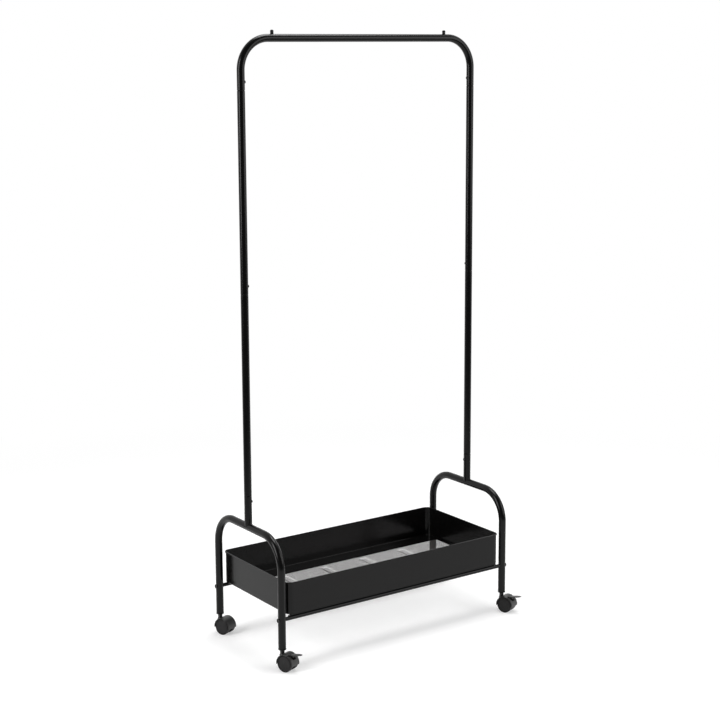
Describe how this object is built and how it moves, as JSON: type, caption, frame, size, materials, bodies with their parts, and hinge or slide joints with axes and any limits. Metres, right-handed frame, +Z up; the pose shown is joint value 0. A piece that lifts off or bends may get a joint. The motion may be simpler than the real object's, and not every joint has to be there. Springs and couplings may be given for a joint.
{
  "type": "rolling clothes rack",
  "caption": "Rolling clothes rack: hanging bar on tall posts over bent end frames, low mesh-floored basket and twin-wheel casters.",
  "frame": {"origin": "on the floor, under the middle of the outline of the whole rack as stored, casters and brake levers included", "axes": "+Z up, +X along the hanging bar from the left post to the right post, -Y towards the braked casters and the user"},
  "size_m": [0.7394, 0.3694, 1.5285],
  "materials": {
    "frame_coat": "black satin powder coat on steel tube",
    "basket_coat": "black satin powder coat on sheet steel",
    "mesh_coat": "black powder coat on fine expanded metal",
    "screw_black": "black zinc on round-headed screws",
    "plug_plastic": "black moulded plug",
    "caster_plastic": "black moulded nylon, half gloss",
    "wheel_plastic": "dark grey moulded nylon, fine grain",
    "stem_steel": "dark zinc on turned steel"
  },
  "bodies": {
    "frame": {"top_bar": "frame_coat", "hanger_stop_left": "frame_coat", "upper_post_left": "frame_coat", "lower_post_left": "frame_coat", "end_frame_left": "frame_coat", "top_joint_screw_left": "screw_black", "middle_joint_screw_left": "screw_black", "socket_screw_left": "screw_black", "hanger_stop_right": "frame_coat", "upper_post_right": "frame_coat", "lower_post_right": "frame_coat", "end_frame_right": "frame_coat", "top_joint_screw_right": "screw_black", "middle_joint_screw_right": "screw_black", "socket_screw_right": "screw_black", "front_rail": "frame_coat", "front_left_rail_bolt": "screw_black", "front_left_leg_plug": "plug_plastic", "front_left_caster_stem": "stem_steel", "front_right_rail_bolt": "screw_black", "front_right_leg_plug": "plug_plastic", "front_right_caster_stem": "stem_steel", "back_rail": "frame_coat", "back_left_rail_bolt": "screw_black", "back_left_leg_plug": "plug_plastic", "back_left_caster_stem": "stem_steel", "back_right_rail_bolt": "screw_black", "back_right_leg_plug": "plug_plastic", "back_right_caster_stem": "stem_steel", "basket_shell": "basket_coat", "basket_mesh": "mesh_coat"},
    "front_left_swivel": {"front_left_caster_hood": "caster_plastic", "front_left_caster_axle": "stem_steel", "front_left_brake_pin": "stem_steel"},
    "front_left_left_wheel": {"front_left_caster_left_wheel": "wheel_plastic"},
    "front_left_right_wheel": {"front_left_caster_right_wheel": "wheel_plastic"},
    "front_left_brake": {"front_left_brake_lever": "caster_plastic"},
    "front_right_swivel": {"front_right_caster_hood": "caster_plastic", "front_right_caster_axle": "stem_steel", "front_right_brake_pin": "stem_steel"},
    "front_right_left_wheel": {"front_right_caster_left_wheel": "wheel_plastic"},
    "front_right_right_wheel": {"front_right_caster_right_wheel": "wheel_plastic"},
    "front_right_brake": {"front_right_brake_lever": "caster_plastic"},
    "back_left_swivel": {"back_left_caster_hood": "caster_plastic", "back_left_caster_axle": "stem_steel"},
    "back_left_left_wheel": {"back_left_caster_left_wheel": "wheel_plastic"},
    "back_left_right_wheel": {"back_left_caster_right_wheel": "wheel_plastic"},
    "back_right_swivel": {"back_right_caster_hood": "caster_plastic", "back_right_caster_axle": "stem_steel"},
    "back_right_left_wheel": {"back_right_caster_left_wheel": "wheel_plastic"},
    "back_right_right_wheel": {"back_right_caster_right_wheel": "wheel_plastic"}
  },
  "joints": [
    {"name": "front_left_caster_swivel", "type": "hinge", "parent": "frame", "child": "front_left_swivel", "pos_m": [-0.35199, -0.12845, 0.02], "axis": [0, 0, 1], "continuous": true},
    {"name": "front_left_left_wheel_spin", "type": "hinge", "parent": "front_left_swivel", "child": "front_left_left_wheel", "pos_m": [-0.346, -0.14328, 0.02], "axis": [0.9272, 0.3746, 0], "continuous": true},
    {"name": "front_left_right_wheel_spin", "type": "hinge", "parent": "front_left_swivel", "child": "front_left_right_wheel", "pos_m": [-0.346, -0.14328, 0.02], "axis": [0.9272, 0.3746, 0], "continuous": true},
    {"name": "front_left_brake_press", "type": "hinge", "parent": "front_left_swivel", "child": "front_left_brake", "pos_m": [-0.34225, -0.15255, 0.0415], "axis": [0.9272, 0.3746, 0], "range_deg": [0, 12]},
    {"name": "front_right_caster_swivel", "type": "hinge", "parent": "frame", "child": "front_right_swivel", "pos_m": [0.34001, -0.12845, 0.02], "axis": [0, 0, 1], "continuous": true},
    {"name": "front_right_left_wheel_spin", "type": "hinge", "parent": "front_right_swivel", "child": "front_right_left_wheel", "pos_m": [0.346, -0.14328, 0.02], "axis": [0.9272, 0.3746, 0], "continuous": true},
    {"name": "front_right_right_wheel_spin", "type": "hinge", "parent": "front_right_swivel", "child": "front_right_right_wheel", "pos_m": [0.346, -0.14328, 0.02], "axis": [0.9272, 0.3746, 0], "continuous": true},
    {"name": "front_right_brake_press", "type": "hinge", "parent": "front_right_swivel", "child": "front_right_brake", "pos_m": [0.34975, -0.15255, 0.0415], "axis": [0.9272, 0.3746, 0], "range_deg": [0, 12]},
    {"name": "back_left_caster_swivel", "type": "hinge", "parent": "frame", "child": "back_left_swivel", "pos_m": [-0.35199, 0.17155, 0.02], "axis": [0, 0, 1], "continuous": true},
    {"name": "back_left_left_wheel_spin", "type": "hinge", "parent": "back_left_swivel", "child": "back_left_left_wheel", "pos_m": [-0.346, 0.15672, 0.02], "axis": [0.9272, 0.3746, 0], "continuous": true},
    {"name": "back_left_right_wheel_spin", "type": "hinge", "parent": "back_left_swivel", "child": "back_left_right_wheel", "pos_m": [-0.346, 0.15672, 0.02], "axis": [0.9272, 0.3746, 0], "continuous": true},
    {"name": "back_right_caster_swivel", "type": "hinge", "parent": "frame", "child": "back_right_swivel", "pos_m": [0.34001, 0.17155, 0.02], "axis": [0, 0, 1], "continuous": true},
    {"name": "back_right_left_wheel_spin", "type": "hinge", "parent": "back_right_swivel", "child": "back_right_left_wheel", "pos_m": [0.346, 0.15672, 0.02], "axis": [0.9272, 0.3746, 0], "continuous": true},
    {"name": "back_right_right_wheel_spin", "type": "hinge", "parent": "back_right_swivel", "child": "back_right_right_wheel", "pos_m": [0.346, 0.15672, 0.02], "axis": [0.9272, 0.3746, 0], "continuous": true}
  ]
}
